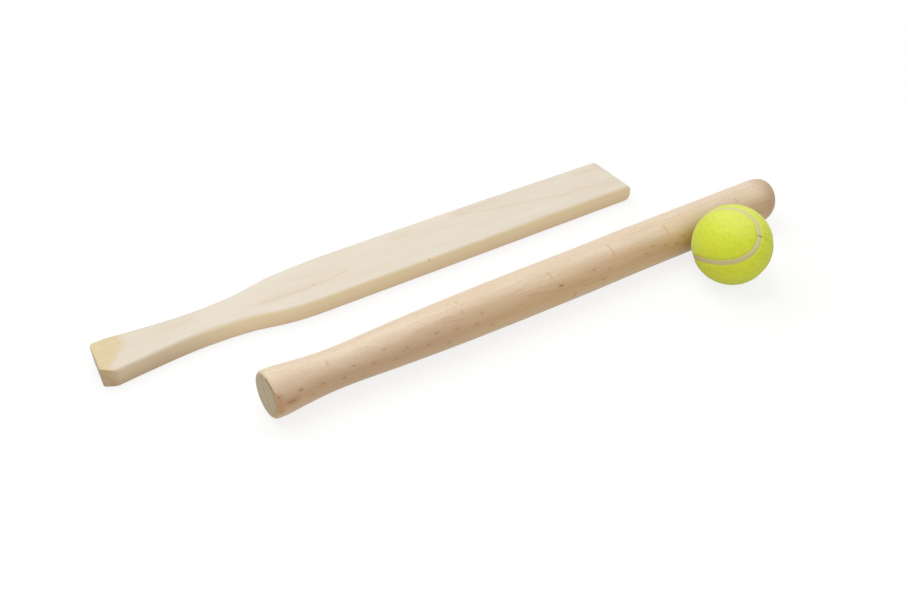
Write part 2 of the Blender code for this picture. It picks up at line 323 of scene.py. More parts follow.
# Stain at the butt: how far it reaches on the far side of the top, on its near side and on the sides, how far
# across its border begins to slant, the depth over which it leaves the top, and how its border is softened
# and wanders
STAIN_REACH = 25.0 * MM
STAIN_NEAR_REACH = 6.5 * MM
STAIN_SIDE_REACH = 8.0 * MM
STAIN_SLANT_FROM = 6.0 * MM
STAIN_TOP_DEPTH = 2.0 * MM
STAIN_EDGE = 4.5 * MM
STAIN_WANDER = 1.8 * MM
STAIN_GRAIN = 9.0 * MM


def outline(points):
    """The places, seen from above, at which these points lie."""
    return np.unique(np.round(points[:, :2], PLACE_DECIMALS), axis=0)


def plank_edges():
    """Outline of the flat bat's solid at mid height: its far and its near edge, from tip to butt.

    The nose has points of its own at mid height; the upright walls have theirs where the roundings end.
    """
    points = node_points("flat_bat")
    low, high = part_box("flat_bat")
    middle = (low + high) / 2
    from_middle = np.abs(points[:, 2] - middle.z)
    nose = outline(points[from_middle < from_middle.min() + LEVEL_TOLERANCE])
    walls = outline(points[from_middle < high.z - middle.z - HANDLE_TOP_EDGE])
    walls = walls[walls[:, 0] < nose[:, 0].min() - GRAIN_SPACING]
    edge = np.concatenate((nose[::-1], walls[::-1]))
    return edge[edge[:, 1] > middle.y], edge[edge[:, 1] < middle.y]


def bow_far_edge(far):
    """Bow the far edge along the blade, and wear it at the shoulder of the butt."""
    low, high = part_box("flat_bat")
    on_blade = far[:, 0] - (high.x - BLADE_LENGTH)
    from_butt = far[:, 0] - low.x
    far[:, 1] += BLADE_SWELL * smooth_step(on_blade, BLADE_SWELL_FROM, BLADE_SWELL_TO)
    far[:, 1] -= BLADE_FALL * np.clip(on_blade / BLADE_LENGTH, 0.0, 1.0) ** 2
    far[:, 1] -= BUTT_WEAR * np.exp(-((from_butt - BUTT_WEAR_PLACE) / BUTT_WEAR_SPAN) ** 2)


def plane_near_corner(near, width):
    """Plane the near edge off at the butt, this far across at the end and softly where the cut begins."""
    from_butt = near[:, 0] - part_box("flat_bat")[0].x
    side = near[from_butt < BUTT_LENGTH, 1].min()
    cut = side + width * (1.0 - from_butt / BUTT_CORNER_LENGTH)
    softened = np.logaddexp(near[:, 1] / BUTT_CORNER_SOFTNESS, cut / BUTT_CORNER_SOFTNESS)
    near[:, 1] = softened * BUTT_CORNER_SOFTNESS


def along_edge(edge):
    """How far along an edge each of its points lies, as a share of the edge's length."""
    steps = np.linalg.norm(np.diff(edge, axis=0), axis=1)
    return np.concatenate(((0.0,), np.cumsum(steps))) / steps.sum()


def plank_stations(corner_width):
    """Pairs of points across the flat bat: one on its far and one on its near edge, from tip to butt.

    Both edges have the corrections fitted to the photograph, with the near corner planed off this far across.
    """
    far, near = [refine(edge, GRAIN_SPACING) for edge in plank_edges()]
    bow_far_edge(far)
    plane_near_corner(near, corner_width)
    shares = along_edge(far)
    near_shares = along_edge(near)
    return far, np.column_stack([np.interp(shares, near_shares, near[:, axis]) for axis in (0, 1)])


def plank_radii(along, halves, handle_edge):
    """Radii of the long edges at these stations: blade, then handle, then the crisp edges of the butt.

    None is larger than the half thickness of its station allows.
    """
    handle = smooth_step(along[0] - BLADE_LENGTH - along, 0.0, SHOULDER_LENGTH)
    radii = BLADE_EDGE + (handle_edge - BLADE_EDGE) * handle
    radii = BUTT_EDGE + (radii - BUTT_EDGE) * smooth_step(along - along[-1], BUTT_LENGTH / 2, BUTT_LENGTH)
    return np.minimum(radii, halves * LARGEST_EDGE_SHARE)


def edge_section(width, radius, half):
    """Distance across and height above mid height of half a cross-section, from its far to its near edge."""
    bend = np.linspace(0.0, math.pi / 2, PLANK_EDGE_STEPS + 1)
    inset = radius * (1 - np.cos(bend))
    rise = half - radius * (1 - np.sin(bend))
    flat = np.linspace(radius, width - radius, PLANK_ACROSS)[1:-1]
    over = np.concatenate((inset, flat, width - inset[::-1]))
    return over, np.concatenate((rise, np.full(len(flat), half), rise[::-1]))


def half_section(far, near, radius, half, middle, way):
    """Points of the upper (way 1) or lower (way -1) half of a cross-section, from far to near edge."""
    width = np.linalg.norm(near - far)
    over, height = edge_section(width, radius, half)
    return np.column_stack((far + over[:, None] * (near - far) / width, middle + way * height))


def shape_ends(rings, from_tip, from_butt):
    """Undercut the butt's end, and let both ends reach further on their near sides."""
    low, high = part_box("flat_bat")
    depth = (high.z - rings[..., 2]) / (high.z - low.z)
    far_share = (rings[..., 1] - low.y) / (high.y - low.y)
    undercut = BUTT_UNDERCUT_NEAR + (BUTT_UNDERCUT_FAR - BUTT_UNDERCUT_NEAR) * far_share
    butt_reach = BUTT_REACH_NEAR + (BUTT_REACH_FAR - BUTT_REACH_NEAR) * far_share
    tip_reach = TIP_REACH_NEAR * (1.0 - far_share)
    at_butt = 1.0 - smooth_step(from_butt, 0.0, BUTT_LENGTH)
    at_tip = 1.0 - smooth_step(from_tip, 0.0, TIP_REACH_SPAN)
    rings[..., 0] += (undercut * depth - butt_reach) * at_butt[:, None]
    rings[..., 0] += tip_reach * at_tip[:, None]


def build_flat_bat():
    """The plank bat: cross-sections from tip to butt, rounded along both edges and at either end."""
    low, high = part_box("flat_bat")
    half_height = (high.z - low.z) / 2
    middle = low.z + half_height
    far_edge, near_edge = plank_stations(BUTT_CORNER_TOP)
    foot_edge = plank_stations(BUTT_CORNER_UNDER)[1]
    along = (far_edge[:, 0] + near_edge[:, 0]) / 2
    from_tip = along[0] - along
    from_butt = along - along[-1]
    halves = half_height - round_over(TIP_NOSE, from_tip) - round_over(BUTT_EDGE, from_butt)
    top_radii = plank_radii(along, halves, HANDLE_TOP_EDGE)
    under_radii = plank_radii(along, halves, HANDLE_UNDER_EDGE)
    rings = []
    for station, half in enumerate(halves):
        far = far_edge[station]
        top = half_section(far, near_edge[station], top_radii[station], half, middle, 1)
        under = half_section(far, foot_edge[station], under_radii[station], half, middle, -1)
        near_wall = np.linspace(top[-1], under[-1], PLANK_WALL_STEPS)[1:-1]
        far_wall = np.linspace(under[0], top[0], PLANK_WALL_STEPS)[1:-1]
        rings.append(np.concatenate((top, near_wall, under[::-1], far_wall)))
    rings = np.array(rings)
    shape_ends(rings, from_tip, from_butt)
    piece = loft("flat_bat_wood", rings)
    paint_flat_bat(piece)
    piece.data.materials.append(plank_wood())
    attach(piece, "flat_bat")
    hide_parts("flat_bat")


def paint_flat_bat(piece):
    """Growth lines with a soft shade beside them, specks, and the yellow stain at the butt."""
    surface, points = surface_of(piece)
    lines = strokes(points, surface, GROWTH_LINES, GROWTH_LINE_WIDTH)
    shades = strokes(points, surface, GROWTH_LINES, GROWTH_SHADE_WIDTH)
    paint(piece, "growth_line", np.maximum(lines, GROWTH_SHADE * shades))
    specks = [(pixel, pixel) for pixel in PLANK_SPECKS]
    paint(piece, "speck", strokes(points, surface, specks, SPECK_WIDTH))
    low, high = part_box("flat_bat")
    far_side = smooth_step(points[:, 1], low.y + STAIN_SLANT_FROM, (low.y + high.y) / 2 + STAIN_SLANT_FROM)
    on_top = smooth_step(points[:, 2], high.z - STAIN_TOP_DEPTH, high.z)
    reach = STAIN_NEAR_REACH + (STAIN_REACH - STAIN_NEAR_REACH) * far_side
    reach = STAIN_SIDE_REACH + (reach - STAIN_SIDE_REACH) * on_top
    wander = np.array([noise.noise(Vector(point) / STAIN_GRAIN) for point in points]) * STAIN_WANDER
    from_butt = points[:, 0] - low.x + wander
    paint(piece, "stain", 1.0 - smooth_step(from_butt, reach - STAIN_EDGE, reach + STAIN_EDGE))


# Round bat

ROUND_POINTS = 150

# Corrections fitted to the photograph: the bat is a little thicker than its solid and lies a little to one
# side, bends back between two distances from its butt, and leans out of square at its tip
ROUND_SWELL = 1.017
ROUND_SHIFT = -0.5 * MM
ROUND_BEND = 0.9 * MM
ROUND_BEND_FROM = 269.0 * MM
ROUND_BEND_TO = 341.0 * MM
TIP_LEAN = Vector((0.0, 0.095, 0.104))
TIP_LEAN_SPAN = 25.0 * MM

# Pin knots, as pixels of the photograph, and the smear along the grain that each has
DARK_KNOTS = ((561.6, 285.4),)
BOLD_KNOTS = ((301, 390),)
PIN_KNOTS = (
    (344.1, 377.9), (374.1, 362.8), (396.6, 358.8), (428.9, 344.5), (323.2, 383.6), (353.8, 365.7),
    (384.4, 349.2), (407.4, 347.6), (312.7, 394.8), (278, 397.5), (281, 412.2), (363.8, 376.2),
    (482.1, 313.4), (477.1, 324), (492.4, 324.4), (457, 329.2), (437, 333), (449.4, 342.2),
    (594.2, 270.1), (610.3, 268.4), (604, 278.9), (646.8, 254.2), (683.7, 235.9), (652.9, 246.1),
    (665.6, 245.1), (676.9, 243.5),
)
DARK_KNOT_STRENGTH = 1.7
BOLD_KNOT_STRENGTH = 1.0
PIN_KNOT_STRENGTH = 0.62
KNOT_LENGTH = 0.7 * MM
KNOT_WIDTH = 0.7 * MM
SMEAR_LENGTH = 3.5 * MM
SMEAR_WIDTH = 1.3 * MM
SMEAR_STRENGTH = 0.22

# Orange scars across the grain, dark lines along it, brown streaks and broad brown blushes, as pixels of the
# photograph, and their widths
SCARS = (
    ((326.6, 361.8), (328, 364.8)),
    ((547.5, 272.4), (551.3, 277.3)),
    ((607.2, 245.1), (611.5, 249.5), (614.6, 255.4)),
    ((663.1, 226), (666.5, 229.5), (668.8, 233.7)),
    ((734.3, 198.5), (737.8, 202.9)),
    ((454.6, 302.2), (457.2, 303.2)),
    ((461.6, 310.4), (463, 312.9)),
)
GRAIN_LINES = (
    ((530, 295.7), (551, 292.2), (563.7, 290.1), (574.9, 285.2), (583.3, 281.3), (592, 278.5)),
    ((582, 285.2), (589.6, 284.5), (597.4, 281), (606.5, 277.5)),
    ((440.8, 322.3), (452, 321), (463.2, 319.4)),
    ((441.6, 319.4), (448, 318.2), (454, 316.5)),
    ((527, 295.8), (533, 293.8), (538.6, 292.4)),
    ((754, 205.6), (761.9, 202.7), (768.1, 201.5), (772, 200.5)),
)
STREAKS = (
    ((265.4, 379.6), (270.4, 386.9), (275.4, 395)),
    ((260.8, 376), (262.2, 384), (264.3, 393)),
    ((289, 403), (295, 400)),
    ((575.8, 292.2), (573, 297)),
)
BLUSHES = (
    ((279, 398), (281, 404), (282, 411)),
    ((288, 403), (297, 399.5)),
)
SCAR_WIDTH = 0.55 * MM
GRAIN_LINE_WIDTH = 0.7 * MM
STREAK_WIDTH = 0.7 * MM
BLUSH_WIDTH = 3.2 * MM

# How far from the ends the butt face and the painted shade of the tip reach
BUTT_FACE_DEPTH = 1.2 * MM
TIP_PAINTED_SHADE_DEPTH = 24.0 * MM


def turned_profile():
    """Distance along X and radius of the round bat's solid, from its butt to its tip."""
    points = node_points("round_bat")
    low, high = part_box("round_bat")
    axis = (low + high) / 2
    radii = np.hypot(points[:, 1] - axis.y, points[:, 2] - axis.z)
    stations = {}
    for along, radius in zip(np.round(points[:, 0], PLACE_DECIMALS), radii):
        stations[along] = max(stations.get(along, 0.0), radius)
    return np.array(sorted(stations.items()))


def build_round_bat():
    """The beech bat: the solid's own profile turned in fine steps, with the corrections listed above."""
    low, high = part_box("round_bat")
    axis = (low + high) / 2
    angles = full_turn(ROUND_POINTS)
    rings = []
    for along, radius in refine(turned_profile(), GRAIN_SPACING):
        spoke = radius * ROUND_SWELL
        shift = ROUND_SHIFT + ROUND_BEND * smooth_step(along - low.x, ROUND_BEND_FROM, ROUND_BEND_TO)
        rings.append(np.column_stack((np.full(ROUND_POINTS, along), axis.y + shift + spoke * np.cos(angles),
                                      axis.z * ROUND_SWELL + spoke * np.sin(angles))))
    rings = np.array(rings)
    lean = (rings - np.array(axis)) @ np.array(TIP_LEAN)
    rings[..., 0] += lean * smooth_step(rings[..., 0], high.x - TIP_LEAN_SPAN, high.x)
    piece = loft("round_bat_wood", rings)
    paint_round_bat(piece)
    piece.data.materials.append(beech_wood())
    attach(piece, "round_bat")
    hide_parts("round_bat")


def paint_round_bat(piece):
    """Pin knots smeared along the grain, scars across it, brown marks, the butt face, darker by end grain and
    painted shade, and painted shade at the tip.
    """
    surface, points = surface_of(piece)
    knots = np.zeros(len(points))
    for pixels, strength in ((DARK_KNOTS, DARK_KNOT_STRENGTH), (BOLD_KNOTS, BOLD_KNOT_STRENGTH),
                             (PIN_KNOTS, PIN_KNOT_STRENGTH)):
        for pixel in pixels:
            place = landing(surface, pixel)
            knot = stroke_along_grain(points, place, KNOT_LENGTH, KNOT_WIDTH)
            smear = stroke_along_grain(points, place, SMEAR_LENGTH, SMEAR_WIDTH) * SMEAR_STRENGTH
            knots = np.maximum(knots, strength * np.maximum(knot, smear))
    paint(piece, "knot", knots)
    marks = (("scar", SCARS, SCAR_WIDTH), ("grain_line", GRAIN_LINES, GRAIN_LINE_WIDTH),
             ("streak", STREAKS, STREAK_WIDTH), ("blush", BLUSHES, BLUSH_WIDTH))
    for name, lines, width in marks:
        paint(piece, name, strokes(points, surface, lines, width))
    low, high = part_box("round_bat")
    paint(piece, "butt_face", 1.0 - smooth_step(points[:, 0] - low.x, 0.0, BUTT_FACE_DEPTH))
    paint(piece, "painted_tip_shade", 1.0 - smooth_step(high.x - points[:, 0], 0.0, TIP_PAINTED_SHADE_DEPTH))


# Ball

# How the ball is turned, and how its second panel is turned from its first
BALL_TURN = Euler((math.radians(57.7), math.radians(42.2), math.radians(-0.5)))
SECOND_PANEL_TURN = Euler((math.pi, 0.0, math.pi / 2))

# Seam: the width of a panel's waist between its middle lines, the section of its band, and the share of the
# band's half width at which wisps of felt begin to cover it
SEAM_WAIST = 24.6 * MM
SEAM_WIDTH = 5.1 * MM
SEAM_RECESS = 0.25 * MM
SEAM_CROWN = 0.25 * MM
SEAM_DEPTH = 2.4 * MM
SEAM_SHARP_ANGLE = math.radians(50.0)
SEAM_STATIONS = 480
SEAM_POINTS = 12
FELTED_FROM = 0.56

# Felt: its thickness, its rolled edge, the size and height of the lumps in its nap, and a panel's grid
FELT_THICKNESS = 2.6 * MM
FELT_EDGE_DROP = 0.9 * MM
FELT_EDGE_SPAN = 1.8 * MM
NAP_COARSE = 5.0 * MM
NAP_COARSE_HEIGHT = 0.12 * MM
NAP_FINE = 1.1 * MM
NAP_FINE_HEIGHT = 0.1 * MM
PANEL_ROWS = 330
PANEL_COLUMNS = 96

# Mould line, as pixels of the photograph: a crease in the felt and a ridge on the seam
MOULD_LINE = ((759.5, 236), (770, 241.5))
MOULD_LINE_WIDTH = 0.55 * MM
MOULD_LINE_DEPTH = 0.24 * MM
MOULD_LINE_FADE = 12.0 * MM
MOULD_MARK_HEIGHT = 0.18 * MM


def sphere_centre(points):
    """Centre of the sphere on which the outermost of these points lie."""
    guess = (points.min(axis=0) + points.max(axis=0)) / 2
    gaps = np.linalg.norm(points - guess, axis=1)
    outer = points[gaps > gaps.max() - FELT_EDGE_DROP / 2]
    system = np.column_stack((2 * outer, np.ones(len(outer))))
    return np.linalg.lstsq(system, (outer ** 2).sum(axis=1), rcond=None)[0][:3]


def ball_place():
    """Centre and radius of the ball's solids."""
    points = np.concatenate((node_points("ball_felt_panel_a"), node_points("ball_felt_panel_b")))
    centre = sphere_centre(points)
    return centre, np.linalg.norm(points - centre, axis=1).max()


def seam_ways(turns, radius):
    """Directions of the seam's middle line and towards the first panel, at these turns of its closed loop."""
    wide = (radius + SEAM_WAIST / 2) / 2
    narrow = (radius - SEAM_WAIST / 2) / 2
    height = 2 * math.sqrt(wide * narrow)
    line = np.column_stack((wide * np.cos(turns) - narrow * np.cos(3 * turns),
                            wide * np.sin(turns) + narrow * np.sin(3 * turns),
                            height * np.cos(2 * turns)))
    ahead = np.column_stack((3 * narrow * np.sin(3 * turns) - wide * np.sin(turns),
                             wide * np.cos(turns) + 3 * narrow * np.cos(3 * turns),
                             -2 * height * np.sin(2 * turns)))
    return line / radius, unit(np.cross(line, ahead))


def panel_ways(radius):
    """Directions over one felt panel, in rows from edge to edge, and the two tips that end it.

    Rows stand closer together towards the tips, and points in a row towards the edges.
    """
    even = np.linspace(-1.0, 1.0, PANEL_ROWS + 1)
    turns = (even + np.sin(even * math.pi / 2)) * math.pi / 4
    line, side = seam_ways(turns, radius)
    edge = unit(line * radius + side * SEAM_WIDTH / 2)
    rows = edge[1:-1]
    half_widths = np.arcsin(rows[:, 0])
    spines = unit(rows * (0.0, 1.0, 1.0))
    shares = np.sin(np.linspace(1.0, -1.0, PANEL_COLUMNS + 1) * math.pi / 2)
    angles = half_widths[:, None] * shares
    ways = spines[:, None, :] * np.cos(angles)[..., None]
    ways[..., 0] += np.sin(angles)
    return ways, edge[[0, -1]]


def panel_faces(rows, columns):
    """Faces of a felt panel: its outer skin, its inner skin and the wall round its border.

    Each skin is a grid of points, followed by the two tips that end it.
    """
    first_tip = rows * columns
    last_tip = first_tip + 1
    count = last_tip + 1
    faces = []
    for row in range(rows - 1):
        for column in range(columns - 1):
            corner = row * columns + column
            faces.append((corner, corner + 1, corner + columns + 1, corner + columns))
    for tip, row in ((first_tip, 0), (last_tip, rows - 1)):
        for column in range(columns - 1):
            faces.append((tip, row * columns + column, row * columns + column + 1))
    faces += [tuple(corner + count for corner in face) for face in faces]
    border = [row * columns for row in range(rows)] + [last_tip]
    border += [row * columns + columns - 1 for row in reversed(range(rows))] + [first_tip]
    for index, corner in enumerate(border):
        faces.append((border[index - 1], corner, corner + count, border[index - 1] + count))
    return faces


def nap_heights(places):
    """How far the felt's nap stands up at each of these places."""
    heights = []
    for place in places:
        spot = Vector(place)
        heights.append(noise.noise(spot / NAP_COARSE) * NAP_COARSE_HEIGHT
                       + noise.noise(spot / NAP_FINE) * NAP_FINE_HEIGHT)
    return np.array(heights)


def mould_line(points, centre, ends):
    """How strong the mould line is at each point: a great circle through two points, fading along it."""
    normal = unit(np.cross(ends[0] - centre, ends[1] - centre))
    aside = np.abs((points - centre) @ normal)
    along = np.linalg.norm(points - (ends[0] + ends[1]) / 2, axis=1)
    return np.exp(-(aside / MOULD_LINE_WIDTH) ** 2 - (along / MOULD_LINE_FADE) ** 2)


def build_felt(name, node, turn, centre, radius, mould, material):
    """A felt panel: a napped dumb-bell on the ball, its edge rolled down into the seam."""
    ways, tips = panel_ways(radius)
    rows, columns = ways.shape[:2]
    ways = np.concatenate((ways.reshape(-1, 3), tips))
    seam = seam_ways(full_turn(SEAM_STATIONS), radius)[0]
    to_seam = np.arccos(np.clip((ways @ seam.T).max(axis=1), -1.0, 1.0)) * radius
    ways = ways @ np.array(turn).T
    places = centre + ways * radius
    from_edge = np.clip((to_seam - SEAM_WIDTH / 2) / FELT_EDGE_SPAN, 0.0, 1.0)
    drop = round_over(1.0, from_edge) * FELT_EDGE_DROP
    crease = mould_line(places, centre, mould)
    heights = radius + nap_heights(places) - drop - crease * MOULD_LINE_DEPTH
    outer = centre + ways * heights[:, None]
    inner = centre + ways * (radius - FELT_THICKNESS)
    piece = add_piece(name, np.concatenate((outer, inner)), panel_faces(rows, columns))
    piece.data.materials.append(material)
    # The crease is kept for the material, which darkens it with painted shade.
    paint(piece, "crease", np.tile(crease, 2))
    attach(piece, "ball")
    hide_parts(node)


def build_seam(turn, centre, radius, mould, material):
    """The cement band in the seam: low and crowned, with the mould line as a dark ridge across it."""
    line, side = seam_ways(full_turn(SEAM_STATIONS), radius)
    rim = radius - SEAM_RECESS
    section = [(offset, rim - SEAM_CROWN * offset * offset) for offset in np.linspace(-1.0, 1.0, SEAM_POINTS)]
    section += [(1.0, rim - SEAM_DEPTH), (-1.0, rim - SEAM_DEPTH)]
    half_width = SEAM_WIDTH / 2
    band = [unit(line * radius + side * (offset * half_width)) * height for offset, height in section]
    points = (np.stack(band, axis=1) @ np.array(turn).T + centre).reshape(-1, 3)
    ridge = mould_line(points, centre, mould)
    points = points + unit(points - centre) * (ridge * MOULD_MARK_HEIGHT)[:, None]
    piece = add_piece("seam_band", points, skin(SEAM_STATIONS, len(section), closed=True))
    piece.data.set_sharp_from_angle(angle=SEAM_SHARP_ANGLE)
    piece.data.materials.append(material)
    paint(piece, "mark", ridge)
    from_middle = np.abs([offset for offset, height in section])
    paint(piece, "felted", np.tile(smooth_step(from_middle, FELTED_FROM, 1.0), SEAM_STATIONS))
    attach(piece, "ball")
    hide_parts("ball_seam")


def build_ball():
    """The ball: two felt panels and the seam between them, round the core's own solids."""
    centre, radius = ball_place()
    mould = [landing_on_sphere(centre, radius, pixel) for pixel in MOULD_LINE]
    felt = yellow_felt()
    first = BALL_TURN.to_matrix()
    second = first @ SECOND_PANEL_TURN.to_matrix()
    for name, node, turn in (("felt_a", "ball_felt_panel_a", first), ("felt_b", "ball_felt_panel_b", second)):
        build_felt(name, node, turn, centre, radius, mould, felt)
    build_seam(first, centre, radius, mould, seam_cement())
    rubber = core_rubber()
    for node in ("ball_core_half_a", "ball_core_half_b"):
        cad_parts[node].material_slots[0].material = rubber


# Materials

def colour(red, green, blue):
    """Linear colour of a surface seen as these 8-bit display values."""
    def channel(value):
        share = value / 255.0
        if share <= 0.04045:
            return share / 12.92
        return ((share + 0.055) / 1.055) ** 2.4
    return channel(red), channel(green), channel(blue), 1.0


# Growth rings: the length and width of their sways, and the shares of a ring at which late wood begins and
# is full
RING_SWAY = (180.0 * MM, 22.0 * MM)
LATE_WOOD_FROM = 0.45
LATE_WOOD_FULL = 0.95


class Nodes:
    """The node tree of a material or a world, with short calls that add nodes and wire them up."""

    def __init__(self, owner):
        """Start from the nodes that every new material or world has."""
        owner.use_nodes = True
        self.owner = owner
        self.tree = owner.node_tree

    def feed(self, socket, value):
        """Wire an output to a socket, or set the socket to a plain value."""
        if isinstance(value, bpy.types.NodeSocket):
            self.tree.links.new(value, socket)
        else:
            socket.default_value = value

    def add(self, kind, inputs, output=0, **settings):
        """Add a node with these inputs and settings, and return one of its outputs."""
        node = self.tree.nodes.new(kind)
        for key, value in settings.items():
            setattr(node, key, value)
        for key, value in inputs.items():
            self.feed(node.inputs[key], value)
        return node.outputs[output]

    def math(self, operation, first, second=0.0):
        """A calculation with numbers."""
        return self.add("ShaderNodeMath", {0: first, 1: second}, operation=operation)

    def vector(self, operation, first, second=(0.0, 0.0, 0.0), output="Vector"):
        """A calculation with vectors; the output Value is for one that gives a number."""
        return self.add("ShaderNodeVectorMath", {0: first, 1: second}, output=output, operation=operation)

    def place(self):
        """The point that is shaded, in the piece's own coordinates."""
        return self.add("ShaderNodeTexCoord", {}, output="Object")

    def normal(self):
        """The way that the surface faces."""
        return self.add("ShaderNodeNewGeometry", {}, output="Normal")

    def part(self, vector, axis):
        """A vector's part along X, Y or Z."""
        return self.add("ShaderNodeSeparateXYZ", {0: vector}, output=axis)

    def painted(self, name):
        """A value painted on the piece's vertices."""
        return self.add("ShaderNodeAttribute", {}, output="Fac", attribute_name=name)

    def noise(self, along, across, detail):
        """Noise whose features are about this long along X and this wide across it."""
        place = self.vector("MULTIPLY", self.place(), (1 / along, 1 / across, 1 / across))
        return self.add("ShaderNodeTexNoise", {"Vector": place, "Scale": 1.0, "Detail": detail})

    def band(self, value, zero_at, one_at):
        """0 up to one value, 1 from another on and smooth between them; the first may be the higher."""
        return self.add("ShaderNodeMapRange", {"Value": value, "From Min": zero_at, "From Max": one_at},
                        interpolation_type="SMOOTHSTEP")

    def blend(self, factor, first, second):
        """The first tone where the factor is 0, the second where it is 1."""
        return self.add("ShaderNodeMix", {0: factor, 6: first, 7: second}, output=2, data_type="RGBA",
                        blend_type="MIX")

    def tint(self, tone, cover, shade, by):
        """A tone taken towards a shade, by this much where the cover is 1."""
        return self.blend(self.math("MULTIPLY", cover, by), tone, shade)

    def rings(self, pith, spacing, warp):
        """Late wood of growth rings round a line along X through the pith, from 0 to 1."""
        offset = self.vector("SUBTRACT", self.place(), pith)
        across = self.vector("MULTIPLY", offset, (0.0, 1.0, 1.0))
        distance = self.vector("LENGTH", across, output="Value")
        sway = self.math("MULTIPLY", self.noise(*RING_SWAY, detail=3.0), warp)
        phase = self.math("FRACT", self.math("DIVIDE", self.math("ADD", distance, sway), spacing))
        return self.math("MULTIPLY", self.band(phase, zero_at=LATE_WOOD_FROM, one_at=LATE_WOOD_FULL),
                         self.band(phase, zero_at=1.0, one_at=LATE_WOOD_FULL))

    def set_shader(self, name, value):
        """Wire or set an input of the material's shader."""
        self.feed(self.tree.nodes["Principled BSDF"].inputs[name], value)

    def set_bump(self, height, distance):
        """Roughen the surface by a height from 0 to 1 that stands for this distance."""
        bump = self.add("ShaderNodeBump", {"Height": height, "Distance": distance, "Strength": 1.0})
        self.set_shader("Normal", bump)


# Plank wood: where the pith of its rings lies from the bat, and the stretch over which the grip fades out. A
# pair is the length along the grain and the width across it of one feature.
PLANK_PITH_ASIDE = 12.0 * MM
PLANK_PITH_BELOW = 46.0 * MM
PLANK_RING_SPACING = 6.5 * MM
PLANK_RING_WARP = 26.0 * MM
PLANK_FIBRE = (45.0 * MM, 0.7 * MM)
PLANK_PORE = (4.5 * MM, 0.4 * MM)
PLANK_CLOUD = (70.0 * MM, 14.0 * MM)
PLANK_BUMP = 0.03 * MM
STAIN_PATCH = (9.0 * MM, 5.0 * MM)
GRIP_FROM = 40.0 * MM
GRIP_END = 125.0 * MM


def plank_wood():
    """Pale close-grained wood with faint rings and fibres, duller at the grip, painted light and shade on the
    sides and painted shade at the butt.
    """
    n = Nodes(bpy.data.materials.new("pale_wood"))
    low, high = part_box("flat_bat")
    pith = (0.0, (low.y + high.y) / 2 + PLANK_PITH_ASIDE, low.z - PLANK_PITH_BELOW)
    late = n.rings(pith, PLANK_RING_SPACING, PLANK_RING_WARP)
    fibre = n.noise(*PLANK_FIBRE, detail=4.0)
    pores = n.band(n.noise(*PLANK_PORE, detail=2.0), zero_at=0.62, one_at=0.74)
    cloud = n.noise(*PLANK_CLOUD, detail=3.0)
    tone = n.blend(cloud, colour(238, 230, 215), colour(228, 216, 197))
    tone = n.tint(tone, late, colour(212, 184, 148), by=0.07)
    tone = n.tint(tone, n.band(fibre, zero_at=0.35, one_at=0.75), colour(205, 180, 150), by=0.12)
    tone = n.tint(tone, pores, colour(170, 135, 100), by=0.1)
    tone = n.tint(tone, n.painted("growth_line"), colour(206, 172, 130), by=0.4)
    upright = n.math("ABSOLUTE", n.part(n.normal(), "Z"))
    endways = n.math("ABSOLUTE", n.part(n.normal(), "X"))
    side = n.band(upright, zero_at=0.97, one_at=0.4)
    rise = n.band(n.part(n.place(), "Z"), zero_at=low.z, one_at=high.z)
    handle = n.band(n.part(n.place(), "X"), zero_at=low.x + GRIP_END, one_at=low.x + GRIP_FROM)
    blade_side_painted_light = n.blend(rise, colour(248, 226, 192), colour(255, 240, 203))
    handle_side_painted_light = n.blend(rise, colour(206, 183, 150), colour(226, 210, 179))
    tone = n.tint(tone, handle, colour(219, 205, 183), by=0.2)
    # Painted light on the sides: warmer and lighter than the top, fading to painted shade towards the floor.
    tone = n.tint(tone, side, n.blend(handle, blade_side_painted_light, handle_side_painted_light), by=0.9)
    patches = n.band(n.noise(*STAIN_PATCH, detail=3.0), zero_at=0.05, one_at=0.6)
    stain = n.math("MULTIPLY", n.painted("stain"), patches)
    # The stain is darker on the sides than on the top: painted shade.
    stain_and_side_shade = n.blend(side, colour(222, 199, 142), colour(188, 162, 116))
    tone = n.tint(tone, stain, stain_and_side_shade, by=0.74)
    # The ends: end grain, with painted shade making it darker at the butt.
    end_grain = n.band(endways, zero_at=0.72, one_at=0.92)
    end_grain_and_shade_tone = n.blend(handle, colour(222, 205, 176), colour(176, 162, 146))
    tone = n.tint(tone, end_grain, end_grain_and_shade_tone, by=0.85)
    tone = n.tint(tone, n.painted("speck"), colour(150, 120, 84), by=0.7)
    n.set_shader("Base Color", tone)
    n.set_shader("Roughness", n.band(fibre, zero_at=-0.6, one_at=2.0))
    n.set_shader("Specular IOR Level", 0.25)
    n.set_bump(n.math("ADD", fibre, pores), PLANK_BUMP)
    return n.owner


# Beech: where the pith of its rings lies from the bat, the side on which shade is painted, how far that
# painted shade and the painted light from the floor beyond it reach across the bat, and where the barrel's
# tone is full
BEECH_PITH_ASIDE = 30.0 * MM
BEECH_PITH_ABOVE = 30.0 * MM
BEECH_RING_SPACING = 7.0 * MM
BEECH_RING_WARP = 16.0 * MM
BEECH_FIBRE = (30.0 * MM, 0.6 * MM)
BEECH_CLOUD = (60.0 * MM, 9.0 * MM)
BEECH_BUMP = 0.03 * MM
FLECK = (3.2 * MM, 0.55 * MM)
FLECK_AREA = (25.0 * MM, 8.0 * MM)
SHADED_SIDE = Vector((0.0, -0.68, -0.73))
SHADE_WANDER = 6.0 * MM
SHADE_FROM = -12.5 * MM
SHADE_FULL = 9.0 * MM
FLOOR_BOUNCE_FROM = 9.0 * MM
FLOOR_BOUNCE_FULL = 20.0 * MM
BARREL_FROM = 230.0 * MM


